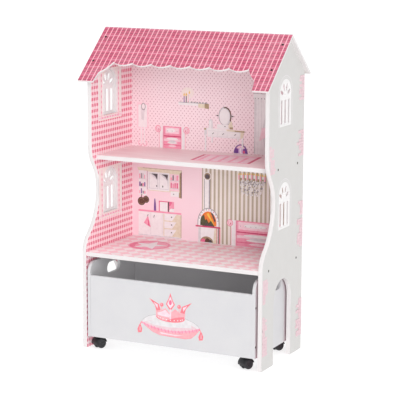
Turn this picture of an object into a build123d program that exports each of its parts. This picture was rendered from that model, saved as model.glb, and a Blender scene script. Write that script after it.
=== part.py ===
"""Wooden dollhouse on two floors with a rolling toy box in the bay beneath.

Millimetres, +Z up, the front faces -Y.  The origin is on the floor, at the
middle of the whole object's bounding box.
"""
from build123d import *
import math
import os

os.makedirs("parts", exist_ok=True)

# ---- driving sizes of the house ----
HEIGHT = 900.0                 # floor to roof ridge
HOUSE_WIDTH = 556.0            # across the outer faces of the side panels
HOUSE_DEPTH = 272.0            # front edge to rear edge of a side panel
BOARD = 12.0                   # side panels and floors
ROOF_BOARD = 6.0
BACK_BOARD = 3.0
UPPER_FLOOR_TOP = 546.0
LOWER_FLOOR_TOP = 278.0
UPPER_FLOOR_SETBACK = 62.0     # front edge of the upper floor behind the legs
LOWER_FLOOR_SETBACK = 2.0

# ---- side panel outline ----
LEG_WIDTH = 77.0
ARCH_TOP = 231.0
WAIST_DEPTH = 79.0             # deepest point of the curved front edge
WAIST_Z = 450.0
UPPER_EDGE_SETBACK = 35.0      # straight front edge beside the upper room
UPPER_EDGE_Z = 575.0
LOW_BEND_RADIUS = 60.0
HIGH_BEND_RADIUS = 90.0

# ---- roof ----
ROOF_OVERHANG = 11.0           # past each side panel
ROOF_FRONT_RUN = 158.5         # level distance from ridge to front eave
ROOF_BACK_RUN = 134.5
ROOF_PITCH = 41.0
SCALLOP_COUNT = 7
SCALLOP_WIDTH = 59.0
SCALLOP_SAG = 9.5
SCALLOP_SLOPE = 134.0          # slope distance from the ridge to the cusps
CUT_SHOULDER = (237.0, 176.0)  # half width and slope distance where the cut turns down
CUT_FOOT = 241.0               # half width of the cut at the eave
CUT_ARC_MIDDLE = (219.5, 157.0)
ROOF_SCREW_SLOPES = (38.5, 133.0)

# ---- windows ----
WINDOW_WIDTH = 76.0
WINDOW_HEIGHT = 128.0
WINDOW_SETBACK = 141.0         # centre behind the front edge
WINDOW_SILLS = {"upper": 654.0, "lower": 372.0}
LATTICE = 3.0
SLOT_WIDTH = 12.0
SLOT_PITCH = 24.0
SLOT_BOTTOM = 6.0
SLOT_HEIGHT = 67.0
PETAL_ANGLES = (22.5, 67.5, 112.5, 157.5)
PETAL_LENGTH = 22.0
PETAL_WIDTH = 10.0
PETAL_REACH = 25.0             # fan centre to petal centre
FAN_HEIGHT = 83.0              # sill to fan centre

# ---- toy box ----
BOX_WIDTH = 520.0
BOX_DEPTH = 270.0
BOX_PROUD = 4.0                # box front stands this far out of the legs
BOX_BOARD = 9.0
BOX_BOTTOM = 35.0
BOX_FRONT_HEIGHT = 178.0
BOX_SIDE_HEIGHT = 215.0
BOX_CORNER_RADIUS = 30.0
HAND_HOLE = (77.0, 33.0)
HAND_HOLE_Z = 213.0
BOX_SCREW_HEIGHTS = (67.0, 176.0)

# ---- castors ----
CASTOR_X = 230.0
CASTOR_SETBACKS = {"front": 27.0, "rear": 236.0}
CASTOR_TURN = -28.0            # degrees that the castors stand turned at rest
CASTOR_TRAIL = 11.0
WHEEL_RADIUS = 14.0
WHEEL_INNER = 3.4              # castor centre plane to the wheel's inner face
WHEEL_OUTER = 15.5
AXLE_RADIUS = 2.5
KINGPIN_RADIUS = 3.0
RUNNING_GAP = 0.06             # radial clearance of a pin in its bore
HOOD_GAP = 1.0
HOOD_WALL = 1.7
PLATE_SIZE = 38.0
PLATE_THICKNESS = 2.0
PLATE_HOLE_SPACING = 30.0
MOVING_GAP = 0.3               # flat faces that slide past each other
RIVET_POCKET = 3.0             # blind pocket in the base over the kingpin's head
RIVET_HEAD = (4.5, 1.5)        # radius and height of the kingpin's head
BOSS_RADIUS = 9.0
KINGPIN_FOOT = 5.0             # how deep the kingpin is moulded into the hood
WEB_HALF = 2.9
HOOD_TILT = -12.0              # the hood's lower rim dips towards the front, degrees
HOOD_FLOOR_GAP = 1.5
HUB_RADIUS = 7.0
HUB_DEPTH = 1.2

# ---- fasteners: head diameter, head height, shank diameter, length ----
PANEL_SCREW = (7.0, 2.4, 4.0, 38.0)
ROOF_SCREW = (7.0, 2.4, 3.5, 28.0)
BOX_SCREW = (6.5, 2.2, 3.5, 30.0)
BACK_SCREW = (5.0, 1.5, 2.5, 14.0)
CASTOR_SCREW = (5.5, 1.6, 3.0, 10.0)
UPPER_SCREW_SETBACKS = (97.0, 230.0)
LOWER_SCREW_SETBACKS = (41.0, 230.0)
UPPER_BACK_SCREW_HEIGHTS = (590.0, 670.0, 750.0)
LOWER_BACK_SCREW_HEIGHTS = (320.0, 405.0, 490.0)
BACK_SCREW_PLACES = (-180.0, 0.0, 180.0)   # along a floor's rear edge
RECESS = (3.2, 0.8, 1.1)       # cross recess: span, slot width, depth
DOWEL_RADIUS = 3.0
DOWEL_LENGTH = 28.0
DOWEL_IN_PANEL = 8.0
DOWEL_SETBACKS = (128.0, 204.0)
BASE_DOWEL_PLACES = (-70.0, 0.0, 70.0)   # from the middle of the base
BASE_DOWEL_IN_PANEL = 6.0

# ---- sizes that follow ----
SLOPE = math.tan(math.radians(ROOF_PITCH))
SLOPE_COS = math.cos(math.radians(ROOF_PITCH))
SLOPE_SIN = math.sin(math.radians(ROOF_PITCH))
FRONT = -(ROOF_FRONT_RUN + ROOF_BACK_RUN - BOX_PROUD) / 2
REAR = FRONT + HOUSE_DEPTH
RIDGE_Y = FRONT + ROOF_FRONT_RUN
HALF_WIDTH = HOUSE_WIDTH / 2
INNER_X = HALF_WIDTH - BOARD
SCREW_X = HALF_WIDTH - BOARD / 2
GABLE_TOP = HEIGHT - ROOF_BOARD / SLOPE_COS
BOX_FRONT = FRONT - BOX_PROUD
BOX_REAR = BOX_FRONT + BOX_DEPTH
BOX_X = BOX_WIDTH / 2
BOX_INNER_X = BOX_X - BOX_BOARD
BOX_MIDDLE_Y = (BOX_FRONT + BOX_REAR) / 2
HOOD_RADIUS = WHEEL_RADIUS + HOOD_GAP + HOOD_WALL
PLATE_BOTTOM = BOX_BOTTOM - PLATE_THICKNESS
ROOF_HALF = HALF_WIDTH + ROOF_OVERHANG

FRONT_ROOF_PLANE = Plane(origin=(0, RIDGE_Y, HEIGHT), x_dir=(1, 0, 0), z_dir=(0, -SLOPE_SIN, SLOPE_COS))
BACK_ROOF_PLANE = Plane(origin=(0, RIDGE_Y, HEIGHT), x_dir=(1, 0, 0), z_dir=(0, SLOPE_SIN, SLOPE_COS))


def save(piece, name):
    """Label a finished piece and write its file."""
    piece.part.label = name
    export_step(piece.part, f"parts/{name}.step")


# ================================================================ fasteners
def countersunk(size, recess=True):
    """Countersunk screw along -Z, its flat head level with Z = 0."""
    head, head_height, shank, length = size
    with BuildPart() as screw:
        with BuildSketch(Plane.XZ):
            with BuildLine():
                Polyline(
                    (0, 0),
                    (head / 2, 0),
                    (shank / 2, -head_height),
                    (shank / 2, -length + shank),
                    (0, -length),
                    close=True,
                )
            make_face()
        revolve(axis=Axis.Z)
        if recess:
            cross_recess()
    return screw.part


def round_head(size, recess=True):
    """Round-headed screw along -Z, its head standing on Z = 0."""
    head, head_height, shank, length = size
    with BuildPart() as screw:
        with BuildSketch(Plane.XZ):
            with BuildLine():
                crown = ThreePointArc((0, head_height), (head * 0.32, head_height * 0.75), (head / 2, 0))
                Polyline(crown @ 1, (shank / 2, 0), (shank / 2, -length + shank), (0, -length), crown @ 0)
            make_face()
        revolve(axis=Axis.Z)
        if recess:
            cross_recess(head_height)
    return screw.part


def cross_recess(top=0.0):
    """Cut the driver's cross into the head of the screw being built."""
    span, width, depth = RECESS
    with BuildSketch(Plane.XY.offset(top - depth)) as cross:
        Rectangle(span, width)
        Rectangle(width, span)
    extrude(cross.sketch, amount=depth * 2, mode=Mode.SUBTRACT)


def dowel(length):
    """Grooveless dowel from Z = 0 down, with chamfered ends."""
    with BuildPart() as pin:
        with BuildSketch(Plane.XY.offset(-length)):
            Circle(DOWEL_RADIUS)
        extrude(amount=length)
        chamfer(pin.edges().filter_by(GeomType.CIRCLE), 0.8)
    return pin.part


def gather(shape, planes):
    """One node's worth of equal pieces, a copy at each plane."""
    with BuildPart() as group:
        for plane in planes:
            add(shape.moved(plane.location))
    return group


def side_plane(side, x, y, z):
    """Plane on the outside of a side board, facing away from the middle."""
    return Plane(origin=(side * x, y, z), x_dir=(0, 1, 0), z_dir=(side, 0, 0))


def floor_screw_planes(top, setbacks):
    """Planes of the screws through both side panels into one floor."""
    height = top - BOARD / 2
    return [side_plane(side, HALF_WIDTH, FRONT + s, height) for side in (-1, 1) for s in setbacks]


def floor_dowel_planes():
    """Planes of the dowels between the side panels and the two floors."""
    planes = []
    for top in (UPPER_FLOOR_TOP, LOWER_FLOOR_TOP):
        for side in (-1, 1):
            for setback in DOWEL_SETBACKS:
                planes.append(side_plane(side, INNER_X + DOWEL_IN_PANEL, FRONT + setback, top - BOARD / 2))
    return planes


def roof_screw_planes(plane, way):
    """Planes of the screws down one roof slope into the gables."""
    planes = []
    for slope in ROOF_SCREW_SLOPES:
        for side in (-1, 1):
            where = plane.from_local_coords((side * SCREW_X, way * slope, 0))
            planes.append(Plane(origin=where, x_dir=(1, 0, 0), z_dir=plane.z_dir))
    return planes


def back_screw_planes(floor_top, heights):
    """Planes of the screws that hold one hardboard back."""
    places = [(side * SCREW_X, z) for side in (-1, 1) for z in heights]
    places += [(x, floor_top - BOARD / 2) for x in BACK_SCREW_PLACES]
    return [Plane(origin=(x, REAR + BACK_BOARD, z), x_dir=(1, 0, 0), z_dir=(0, 1, 0)) for x, z in places]


def box_screw_planes():
    """Planes of the screws through the box sides into its front and back."""
    ends = (BOX_FRONT + BOX_BOARD / 2, BOX_REAR - BOX_BOARD / 2)
    return [side_plane(side, BOX_X, y, z) for side in (-1, 1) for y in ends for z in BOX_SCREW_HEIGHTS]


def base_dowel_planes():
    """Planes of the dowels between the box sides and its base."""
    depth = BOX_INNER_X + BASE_DOWEL_IN_PANEL
    height = BOX_BOTTOM + BOX_BOARD / 2
    return [side_plane(side, depth, BOX_MIDDLE_Y + y, height) for side in (-1, 1) for y in BASE_DOWEL_PLACES]


# ================================================================ house boards
def s_bend(start, rise, shift, first_radius):
    """Two tangent arcs that move an upright line sideways by shift over rise."""
    turn = 2 * math.degrees(math.atan(abs(shift) / rise))
    second_radius = rise / math.sin(math.radians(turn)) - first_radius
    way = -1 if shift > 0 else 1
    first = JernArc(start=start, tangent=(0, 1), radius=first_radius, arc_size=way * turn)
    return JernArc(start=first @ 1, tangent=first % 1, radius=second_radius, arc_size=-way * turn)


def window_outline():
    """Arched outline standing on the local origin."""
    half = WINDOW_WIDTH / 2
    Rectangle(WINDOW_WIDTH, WINDOW_HEIGHT - half, align=(Align.CENTER, Align.MIN))
    with Locations((0, WINDOW_HEIGHT - half)):
        Circle(half)


def side_panel(side, cutters):
    """Gable-topped side panel with a curved front edge, an arch and two windows."""
    inner = INNER_X if side > 0 else -HALF_WIDTH
    high_turn = 2 * math.atan((WAIST_DEPTH - UPPER_EDGE_SETBACK) / (UPPER_EDGE_Z - WAIST_Z))
    waist_radius = (UPPER_EDGE_Z - WAIST_Z) / math.sin(high_turn) - HIGH_BEND_RADIUS
    upper_front = FRONT + UPPER_EDGE_SETBACK
    with BuildPart() as panel:
        with BuildSketch(Plane.YZ.offset(inner)):
            with BuildLine():
                leg = Line((FRONT, 0), (FRONT, LOWER_FLOOR_TOP))
                low = s_bend(leg @ 1, WAIST_Z - LOWER_FLOOR_TOP, WAIST_DEPTH, LOW_BEND_RADIUS)
                high = s_bend(low @ 1, UPPER_EDGE_Z - WAIST_Z, UPPER_EDGE_SETBACK - WAIST_DEPTH, waist_radius)
                Polyline(
                    high @ 1,
                    (upper_front, GABLE_TOP - SLOPE * (RIDGE_Y - upper_front)),
                    (RIDGE_Y, GABLE_TOP),
                    (REAR, GABLE_TOP - SLOPE * (REAR - RIDGE_Y)),
                    (REAR, 0),
                    leg @ 0,
                )
            make_face()
            with BuildLine():
                half = HOUSE_DEPTH / 2 - LEG_WIDTH
                middle = (FRONT + REAR) / 2
                spring = ARCH_TOP - half
                ThreePointArc((middle - half, spring), (middle, ARCH_TOP), (middle + half, spring))
                Polyline((middle + half, spring), (middle + half, 0), (middle - half, 0), (middle - half, spring))
            make_face(mode=Mode.SUBTRACT)
            for sill in WINDOW_SILLS.values():
                with BuildSketch(mode=Mode.PRIVATE) as opening:
                    window_outline()
                with Locations((FRONT + WINDOW_SETBACK, sill)):
                    add(opening.sketch_local, mode=Mode.SUBTRACT)
        extrude(amount=BOARD)
        for cutter in cutters:
            add(cutter, mode=Mode.SUBTRACT)
    return panel


def floor_board(top, setback, cutters):
    """Plain floor board between the side panels."""
    with BuildPart() as board:
        with BuildSketch(Plane.XY.offset(top - BOARD)):
            with Locations((0, FRONT + setback)):
                Rectangle(2 * INNER_X, HOUSE_DEPTH - setback, align=(Align.CENTER, Align.MIN))
        extrude(amount=BOARD)
        for cutter in cutters:
            add(cutter, mode=Mode.SUBTRACT)
    return board


def back_board(bottom, top, cutter):
    """Thin hardboard back, laid on the rear edges of the house."""
    with BuildPart() as board:
        with BuildSketch(Plane.XZ.offset(-REAR - BACK_BOARD)):
            with Locations((0, bottom)):
                Rectangle(HOUSE_WIDTH - 4, top - bottom, align=(Align.CENTER, Align.MIN))
        extrude(amount=BACK_BOARD)
        add(cutter, mode=Mode.SUBTRACT)
    return board


def roof_front(cutter):
    """Front slope with its scalloped cut-out."""
    eave = ROOF_FRONT_RUN / SLOPE_COS
    cusp = SCALLOP_COUNT * SCALLOP_WIDTH / 2
    with BuildPart() as slope:
        with BuildSketch(FRONT_ROOF_PLANE):
            with BuildLine():
                Polyline((-CUT_FOOT, -eave), (-ROOF_HALF, -eave), (-ROOF_HALF, 0), (ROOF_HALF, 0), (ROOF_HALF, -eave))
                Line((ROOF_HALF, -eave), (CUT_FOOT, -eave))
                for side in (-1, 1):
                    shoulder = (side * CUT_SHOULDER[0], -CUT_SHOULDER[1])
                    bend = (side * CUT_ARC_MIDDLE[0], -CUT_ARC_MIDDLE[1])
                    Line((side * CUT_FOOT, -eave), shoulder)
                    ThreePointArc(shoulder, bend, (side * cusp, -SCALLOP_SLOPE))
                for i in range(SCALLOP_COUNT):
                    left = -cusp + i * SCALLOP_WIDTH
                    middle = (left + SCALLOP_WIDTH / 2, -SCALLOP_SLOPE - SCALLOP_SAG)
                    ThreePointArc((left, -SCALLOP_SLOPE), middle, (left + SCALLOP_WIDTH, -SCALLOP_SLOPE))
            make_face()
        extrude(amount=-ROOF_BOARD)
        split(bisect_by=Plane.XZ.offset(-RIDGE_Y), keep=Keep.TOP)
        add(cutter, mode=Mode.SUBTRACT)
    return slope


def roof_back(cutter):
    """Plain back slope, its lower edge cut level."""
    with BuildPart() as slope:
        with BuildSketch(BACK_ROOF_PLANE):
            Rectangle(2 * ROOF_HALF, ROOF_BACK_RUN / SLOPE_COS, align=(Align.CENTER, Align.MIN))
        extrude(amount=-ROOF_BOARD)
        split(bisect_by=Plane.XZ.offset(-RIDGE_Y), keep=Keep.BOTTOM)
        split(bisect_by=Plane.XY.offset(HEIGHT - SLOPE * ROOF_BACK_RUN), keep=Keep.TOP)
        add(cutter, mode=Mode.SUBTRACT)
    return slope


def window_lattice(side, sill):
    """Thin arched insert with three upright slots and a fan of four petals."""
    start = HALF_WIDTH - LATTICE if side > 0 else -HALF_WIDTH
    with BuildPart() as insert:
        with BuildSketch(mode=Mode.PRIVATE) as pattern:
            window_outline()
            with Locations((0, SLOT_BOTTOM + SLOT_HEIGHT / 2)):
                with GridLocations(SLOT_PITCH, 0, 3, 1):
                    SlotOverall(SLOT_HEIGHT, SLOT_WIDTH, rotation=90, mode=Mode.SUBTRACT)
            with Locations((0, FAN_HEIGHT)):
                for angle in PETAL_ANGLES:
                    x = PETAL_REACH * math.cos(math.radians(angle))
                    y = PETAL_REACH * math.sin(math.radians(angle))
                    with Locations((x, y)):
                        Ellipse(PETAL_LENGTH / 2, PETAL_WIDTH / 2, rotation=angle, mode=Mode.SUBTRACT)
        with BuildSketch(Plane.YZ.offset(start)):
            with Locations((FRONT + WINDOW_SETBACK, sill)):
                add(pattern.sketch_local)
        extrude(amount=LATTICE)
    return insert


# ================================================================ toy box
def box_side(side, cutters):
    """Box side with rounded top corners and a hand hole."""
    start = BOX_INNER_X if side > 0 else -BOX_X
    with BuildPart() as board:
        with BuildSketch(Plane.YZ.offset(start)) as outline:
            with Locations((BOX_MIDDLE_Y, BOX_BOTTOM)):
                Rectangle(BOX_DEPTH, BOX_SIDE_HEIGHT, align=(Align.CENTER, Align.MIN))
            fillet(outline.vertices().group_by(Axis.Y)[-1], BOX_CORNER_RADIUS)
            with Locations((BOX_MIDDLE_Y, HAND_HOLE_Z)):
                SlotOverall(*HAND_HOLE, mode=Mode.SUBTRACT)
        extrude(amount=BOX_BOARD)
        for cutter in cutters:
            add(cutter, mode=Mode.SUBTRACT)
    return board


def box_end(y, cutter):
    """Front or back board of the box, between its sides."""
    with BuildPart() as board:
        with BuildSketch(Plane.XZ.offset(-y - BOX_BOARD)):
            with Locations((0, BOX_BOTTOM)):
                Rectangle(2 * BOX_INNER_X, BOX_FRONT_HEIGHT, align=(Align.CENTER, Align.MIN))
        extrude(amount=BOX_BOARD)
        add(cutter, mode=Mode.SUBTRACT)
    return board


def box_base(cutters, castor_places):
    """Base board, with a blind pocket over each castor's rivet head."""
    with BuildPart() as board:
        with BuildSketch(Plane.XY.offset(BOX_BOTTOM)):
            with Locations((0, BOX_MIDDLE_Y)):
                Rectangle(2 * BOX_INNER_X, BOX_DEPTH - 2 * BOX_BOARD)
        extrude(amount=BOX_BOARD)
        with BuildSketch(Plane.XY.offset(BOX_BOTTOM)):
            with Locations(*castor_places):
                Circle(2 * KINGPIN_RADIUS)
        extrude(amount=RIVET_POCKET, mode=Mode.SUBTRACT)
        for cutter in cutters:
            add(cutter, mode=Mode.SUBTRACT)
    return board


# ================================================================ castors
def castor_plane(x, y):
    """Ground plane of one castor, turned as it stands."""
    turn = math.radians(CASTOR_TURN)
    return Plane(origin=(x, y, 0), x_dir=(math.cos(turn), math.sin(turn), 0), z_dir=(0, 0, 1))


def axle_plane(ground):
    """Plane across the axle, its normal along the axle and its X towards the front."""
    origin = ground.from_local_coords((0, -CASTOR_TRAIL, WHEEL_RADIUS))
    return Plane(origin=origin, x_dir=-ground.y_dir, z_dir=-ground.x_dir)


def castor_plate(ground, screw_cutter):
    """Fixing plate under the base, with the kingpin's bore in its middle."""
    square = Plane(origin=ground.origin, x_dir=(1, 0, 0), z_dir=(0, 0, 1))
    with BuildPart() as plate:
        with BuildSketch(square.offset(PLATE_BOTTOM)):
            RectangleRounded(PLATE_SIZE, PLATE_SIZE, 4)
            Circle(KINGPIN_RADIUS + RUNNING_GAP, mode=Mode.SUBTRACT)
        extrude(amount=PLATE_THICKNESS)
        add(screw_cutter, mode=Mode.SUBTRACT)
    return plate


def castor_kingpin(ground):
    """Riveted pin that the castor turns on."""
    radius, height = RIVET_HEAD
    foot = WHEEL_RADIUS + HOOD_RADIUS - KINGPIN_FOOT
    head_bottom = BOX_BOTTOM + MOVING_GAP
    with BuildPart() as pin:
        with BuildSketch(ground.offset(foot)):
            Circle(KINGPIN_RADIUS)
        extrude(amount=head_bottom - foot)
        with BuildSketch(ground.offset(head_bottom)):
            Circle(radius)
        extrude(amount=height)
        chamfer(pin.edges().group_by(Axis.Z)[-1], 0.6)
    return pin


def castor_hood(ground, axle, kingpin):
    """Nylon body: middle web, hood over both wheels and the swivel boss."""
    boss_top = PLATE_BOTTOM - MOVING_GAP
    with BuildPart() as hood:
        with BuildSketch(axle.offset(-WHEEL_OUTER)):
            Circle(HOOD_RADIUS)
        extrude(amount=2 * WHEEL_OUTER)
        with BuildSketch(ground.offset(WHEEL_RADIUS)):
            Circle(BOSS_RADIUS)
        extrude(amount=boss_top - WHEEL_RADIUS)
        for way in (-1, 1):
            # the wheel's own space, and below the hood's rim everything beside the web
            with BuildSketch(axle.offset(way * WEB_HALF)):
                Circle(WHEEL_RADIUS + HOOD_GAP)
                Rectangle(4 * HOOD_RADIUS, 2 * HOOD_RADIUS, rotation=HOOD_TILT, align=(Align.CENTER, Align.MAX))
            extrude(amount=way * WHEEL_OUTER, mode=Mode.SUBTRACT)
        split(bisect_by=Plane.XY.offset(HOOD_FLOOR_GAP), keep=Keep.TOP)
        with BuildSketch(axle.offset(-WHEEL_OUTER)):
            Circle(AXLE_RADIUS + RUNNING_GAP)
        extrude(amount=2 * WHEEL_OUTER, mode=Mode.SUBTRACT)
        add(kingpin, mode=Mode.SUBTRACT)
    return hood


def castor_axle(axle):
    """Steel pin through the web, held in both wheels."""
    half = WHEEL_OUTER - 3
    with BuildPart() as pin:
        with BuildSketch(axle.offset(-half)):
            Circle(AXLE_RADIUS)
        extrude(amount=2 * half)
        chamfer(pin.edges().filter_by(GeomType.CIRCLE), 0.4)
    return pin


def castor_wheels(axle, pin):
    """Pair of wheels with rounded treads and dished outer faces."""
    with BuildPart() as wheels:
        for way in (-1, 1):
            with BuildSketch(Plane(origin=axle.origin, x_dir=axle.z_dir, z_dir=axle.y_dir)):
                with BuildLine():
                    rim = Line((way * WHEEL_INNER, WHEEL_RADIUS), (way * (WHEEL_OUTER - 3), WHEEL_RADIUS))
                    tread = ThreePointArc(
                        rim @ 1,
                        (way * (WHEEL_OUTER - 0.9), WHEEL_RADIUS - 0.9),
                        (way * WHEEL_OUTER, WHEEL_RADIUS - 3),
                    )
                    Polyline(
                        tread @ 1,
                        (way * WHEEL_OUTER, HUB_RADIUS),
                        (way * (WHEEL_OUTER - HUB_DEPTH), HUB_RADIUS - 1),
                        (way * (WHEEL_OUTER - HUB_DEPTH), 0),
                        (way * WHEEL_INNER, 0),
                        rim @ 0,
                    )
                make_face()
            revolve(axis=Axis(axle.origin, axle.z_dir))
        add(pin, mode=Mode.SUBTRACT)
    return wheels


def castor_screw_planes(places):
    """Planes of the four screws up through each plate."""
    reach = PLATE_HOLE_SPACING / 2
    planes = []
    for x, y in places:
        for dx in (-reach, reach):
            for dy in (-reach, reach):
                planes.append(Plane(origin=(x + dx, y + dy, PLATE_BOTTOM), x_dir=(1, 0, 0), z_dir=(0, 0, -1)))
    return planes


# ================================================================ build the house
upper_screw_planes = floor_screw_planes(UPPER_FLOOR_TOP, UPPER_SCREW_SETBACKS)
lower_screw_planes = floor_screw_planes(LOWER_FLOOR_TOP, LOWER_SCREW_SETBACKS)
all_roof_screw_planes = roof_screw_planes(FRONT_ROOF_PLANE, -1)
all_roof_screw_planes += roof_screw_planes(BACK_ROOF_PLANE, 1)
upper_back_planes = back_screw_planes(UPPER_FLOOR_TOP, UPPER_BACK_SCREW_HEIGHTS)
lower_back_planes = back_screw_planes(LOWER_FLOOR_TOP, LOWER_BACK_SCREW_HEIGHTS)

floor_screw_cutter = gather(countersunk(PANEL_SCREW, recess=False), upper_screw_planes + lower_screw_planes).part
roof_screw_cutter = gather(countersunk(ROOF_SCREW, recess=False), all_roof_screw_planes).part
dowel_cutter = gather(dowel(DOWEL_LENGTH), floor_dowel_planes()).part
back_screw_cutter = gather(round_head(BACK_SCREW, recess=False), upper_back_planes + lower_back_planes).part
panel_cutters = (floor_screw_cutter, roof_screw_cutter, dowel_cutter, back_screw_cutter)
floor_cutters = (floor_screw_cutter, dowel_cutter, back_screw_cutter)

save(gather(countersunk(PANEL_SCREW), upper_screw_planes), "upper_floor_screws")
save(gather(countersunk(PANEL_SCREW), lower_screw_planes), "lower_floor_screws")
save(gather(countersunk(ROOF_SCREW), all_roof_screw_planes), "roof_screws")
save(gather(dowel(DOWEL_LENGTH), floor_dowel_planes()), "floor_dowels")
save(gather(round_head(BACK_SCREW), upper_back_planes), "upper_back_screws")
save(gather(round_head(BACK_SCREW), lower_back_planes), "lower_back_screws")

for side_name, side in (("left", -1), ("right", 1)):
    save(side_panel(side, panel_cutters), f"{side_name}_side_panel")
    for storey, sill in WINDOW_SILLS.items():
        save(window_lattice(side, sill), f"{storey}_{side_name}_window")

save(floor_board(UPPER_FLOOR_TOP, UPPER_FLOOR_SETBACK, floor_cutters), "upper_floor")
save(floor_board(LOWER_FLOOR_TOP, LOWER_FLOOR_SETBACK, floor_cutters), "lower_floor")

back_joint = UPPER_FLOOR_TOP - BOARD
back_top = GABLE_TOP - SLOPE * (REAR + BACK_BOARD - RIDGE_Y) - 1
save(back_board(back_joint, back_top, back_screw_cutter), "upper_back_panel")
save(back_board(LOWER_FLOOR_TOP - BOARD, back_joint, back_screw_cutter), "lower_back_panel")
save(roof_front(roof_screw_cutter), "roof_front_panel")
save(roof_back(roof_screw_cutter), "roof_back_panel")

# ================================================================ build the toy box
castor_sites = {}
for end_name, setback in CASTOR_SETBACKS.items():
    for side_name, side in (("left", -1), ("right", 1)):
        castor_sites[f"{end_name}_{side_name}"] = (side * CASTOR_X, FRONT + setback)

box_screw_cutter = gather(countersunk(BOX_SCREW, recess=False), box_screw_planes()).part
base_dowel_cutter = gather(dowel(DOWEL_LENGTH), base_dowel_planes()).part
castor_screw_cutter = gather(round_head(CASTOR_SCREW, recess=False), castor_screw_planes(castor_sites.values())).part

save(gather(countersunk(BOX_SCREW), box_screw_planes()), "box_screws")
save(gather(dowel(DOWEL_LENGTH), base_dowel_planes()), "box_base_dowels")
save(gather(round_head(CASTOR_SCREW), castor_screw_planes(castor_sites.values())), "castor_screws")
save(box_side(-1, (box_screw_cutter, base_dowel_cutter)), "box_left_side")
save(box_side(1, (box_screw_cutter, base_dowel_cutter)), "box_right_side")
save(box_end(BOX_FRONT, box_screw_cutter), "box_front")
save(box_end(BOX_REAR - BOX_BOARD, box_screw_cutter), "box_back")
save(box_base((base_dowel_cutter, castor_screw_cutter), list(castor_sites.values())), "box_base")

# ================================================================ build the castors
for site, (site_x, site_y) in castor_sites.items():
    ground = castor_plane(site_x, site_y)
    axle = axle_plane(ground)
    kingpin = castor_kingpin(ground)
    axle_pin = castor_axle(axle)
    save(castor_plate(ground, castor_screw_cutter), f"{site}_castor_plate")
    save(kingpin, f"{site}_castor_kingpin")
    save(castor_hood(ground, axle, kingpin.part), f"{site}_castor_hood")
    save(axle_pin, f"{site}_castor_axle")
    save(castor_wheels(axle, axle_pin.part), f"{site}_castor_wheels")
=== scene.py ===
"""Looks for a wooden dollhouse on two floors with a rolling toy box beneath.

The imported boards, screws and castors keep their shapes and get their real
finishes.  The printed scenery on the boards is laid on as thin inked shapes.
"""

import logging
import math
import random
from collections.abc import Sequence
from dataclasses import dataclass, field
from enum import Enum

import bmesh
import bpy
from mathutils import Matrix, Vector


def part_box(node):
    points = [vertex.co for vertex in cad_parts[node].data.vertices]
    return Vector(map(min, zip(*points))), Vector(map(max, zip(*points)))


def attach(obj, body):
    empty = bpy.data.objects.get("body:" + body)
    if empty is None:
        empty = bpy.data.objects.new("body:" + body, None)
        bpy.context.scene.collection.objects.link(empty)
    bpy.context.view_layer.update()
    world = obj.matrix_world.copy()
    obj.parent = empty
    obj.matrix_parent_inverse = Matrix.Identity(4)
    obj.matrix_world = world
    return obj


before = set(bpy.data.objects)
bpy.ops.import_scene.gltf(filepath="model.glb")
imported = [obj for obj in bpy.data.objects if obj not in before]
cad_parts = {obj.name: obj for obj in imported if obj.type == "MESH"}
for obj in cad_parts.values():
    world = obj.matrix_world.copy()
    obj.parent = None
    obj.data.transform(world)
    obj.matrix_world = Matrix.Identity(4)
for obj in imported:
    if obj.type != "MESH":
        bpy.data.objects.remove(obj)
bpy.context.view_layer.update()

log = logging.getLogger("dollhouse")

Point = tuple[float, float]
Socket = bpy.types.NodeSocket
Colour = tuple[float, float, float, float]

MM = 0.001
SIDES = ("left", "right")
CASTOR_SITES = ("front_left", "front_right", "rear_left", "rear_right")
SILLS = {"upper": 654.0, "lower": 372.0}     # window sills above the ground
UPPER_FLOOR = 546.0                          # top faces of the two floors
LOWER_FLOOR = 278.0
PAPER_GRAIN = 0.9                            # widths of a print's grain and clouds, and of bare patches
PRINT_CLOUD = 35.0
BARE_PATCH = 50.0
FACING_LIMIT = 0.6                           # how squarely a face looks a way, to count as looking there


def linear(code: str) -> Colour:
    """Turn an sRGB hex colour into linear light.

    Args:
        code: Six hex digits, red first.

    Returns:
        Linear red, green, blue and an alpha of 1.
    """
    parts = [int(code[i:i + 2], 16) / 255 for i in (0, 2, 4)]
    light = [p / 12.92 if p <= 0.04045 else ((p + 0.055) / 1.055) ** 2.4 for p in parts]
    return (light[0], light[1], light[2], 1.0)


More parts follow.
